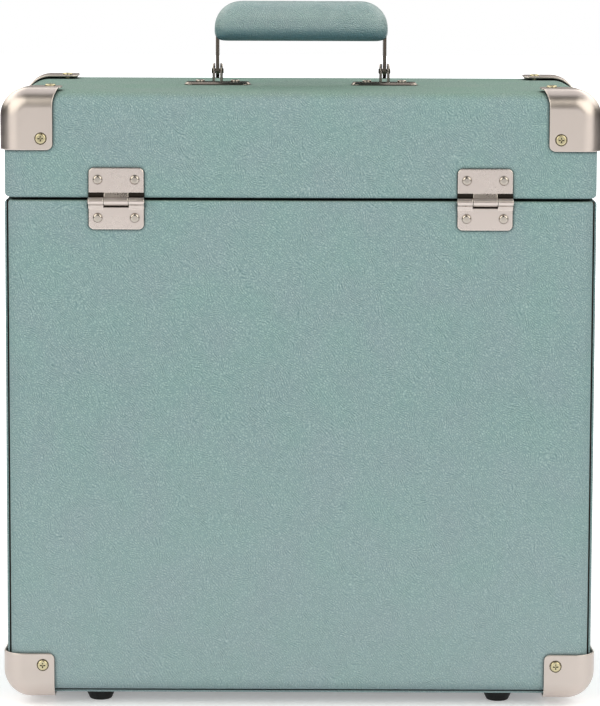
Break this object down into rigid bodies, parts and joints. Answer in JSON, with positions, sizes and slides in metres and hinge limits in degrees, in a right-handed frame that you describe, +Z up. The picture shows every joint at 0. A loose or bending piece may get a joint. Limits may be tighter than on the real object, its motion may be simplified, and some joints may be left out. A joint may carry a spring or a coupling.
{
  "type": "record carrying case",
  "caption": "Upright carrying case for long-playing records: rigid leathercloth-covered box with a hinged lid, metal corner caps, snap hasps, a swinging top handle and rubber feet.",
  "frame": {"origin": "on the ground plane under the middle of the case", "axes": "+Z up, +Y out of the back where the lid hinges are, -Y out of the front where the hasps are, +X to the right when facing the front"},
  "size_m": [0.3692, 0.2013, 0.4364],
  "materials": {
    "board_ply": "raw birch plywood",
    "lining_board": "flocked lining board",
    "leathercloth": "pebble-grained leathercloth, soft sheen",
    "handle_leathercloth": "fine-grained leathercloth, soft sheen",
    "handle_core_wood": "plain hardwood",
    "steel_strap": "nickel-plated flat bar",
    "foot_rubber": "moulded black rubber",
    "zinc_screws": "zinc plated",
    "brass_screws": "pale brass plated",
    "nickel_fasteners": "bright nickel plated",
    "steel_pins": "ground steel wire",
    "satin_nickel": "satin nickel plated pressed steel"
  },
  "bodies": {
    "base": {"base_back_board": "board_ply", "base_back_cover": "leathercloth", "base_band_cover": "leathercloth", "base_bottom_board": "board_ply", "base_cap_back_left": "satin_nickel", "base_cap_back_right": "satin_nickel", "base_cap_front_left": "satin_nickel", "base_cap_front_right": "satin_nickel", "base_cap_screws": "brass_screws", "base_front_board": "board_ply", "base_front_cover": "leathercloth", "base_hinge_rivets": "nickel_fasteners", "base_latch_rivets": "nickel_fasteners", "base_left_board": "board_ply", "base_liner_ends": "lining_board", "base_liner_floor": "lining_board", "base_liner_sides": "lining_board", "base_right_board": "board_ply", "feet": "foot_rubber", "foot_screws": "zinc_screws", "left_hinge_base_leaf": "satin_nickel", "left_hinge_pin": "steel_pins", "left_latch_keeper": "satin_nickel", "left_latch_stud": "satin_nickel", "right_hinge_base_leaf": "satin_nickel", "right_hinge_pin": "steel_pins", "right_latch_keeper": "satin_nickel", "right_latch_stud": "satin_nickel"},
    "lid": {"handle_bracket_screws": "nickel_fasteners", "left_handle_bracket": "satin_nickel", "left_handle_pin": "steel_pins", "left_hinge_lid_leaf": "satin_nickel", "left_latch_hanger": "satin_nickel", "left_latch_pin": "steel_pins", "lid_back_board": "board_ply", "lid_cap_back_left": "satin_nickel", "lid_cap_back_right": "satin_nickel", "lid_cap_front_left": "satin_nickel", "lid_cap_front_right": "satin_nickel", "lid_cap_screws": "brass_screws", "lid_cover": "leathercloth", "lid_front_board": "board_ply", "lid_hinge_rivets": "nickel_fasteners", "lid_latch_rivets": "nickel_fasteners", "lid_left_board": "board_ply", "lid_liner_ends": "lining_board", "lid_liner_sides": "lining_board", "lid_liner_top": "lining_board", "lid_right_board": "board_ply", "lid_top_board": "board_ply", "right_handle_bracket": "satin_nickel", "right_handle_pin": "steel_pins", "right_hinge_lid_leaf": "satin_nickel", "right_latch_hanger": "satin_nickel", "right_latch_pin": "steel_pins"},
    "handle": {"handle_core": "handle_core_wood", "handle_grip_cover": "handle_leathercloth", "handle_strap": "steel_strap"},
    "left_hasp": {"left_latch_hasp": "satin_nickel"},
    "right_hasp": {"right_latch_hasp": "satin_nickel"}
  },
  "joints": [
    {"name": "lid_hinge", "type": "hinge", "parent": "base", "child": "lid", "pos_m": [0, 0.0979, 0.3164], "axis": [-1, 0, 0], "range_deg": [0, 170]},
    {"name": "handle_swing", "type": "hinge", "parent": "lid", "child": "handle", "pos_m": [0, 0, 0.3913], "axis": [1, 0, 0], "range_deg": [-76, 76]},
    {"name": "left_hasp_hinge", "type": "hinge", "parent": "lid", "child": "left_hasp", "pos_m": [-0.1126, -0.0977, 0.336], "axis": [-1, 0, 0], "range_deg": [0, 150]},
    {"name": "right_hasp_hinge", "type": "hinge", "parent": "lid", "child": "right_hasp", "pos_m": [0.1126, -0.0977, 0.336], "axis": [-1, 0, 0], "range_deg": [0, 150]}
  ]
}
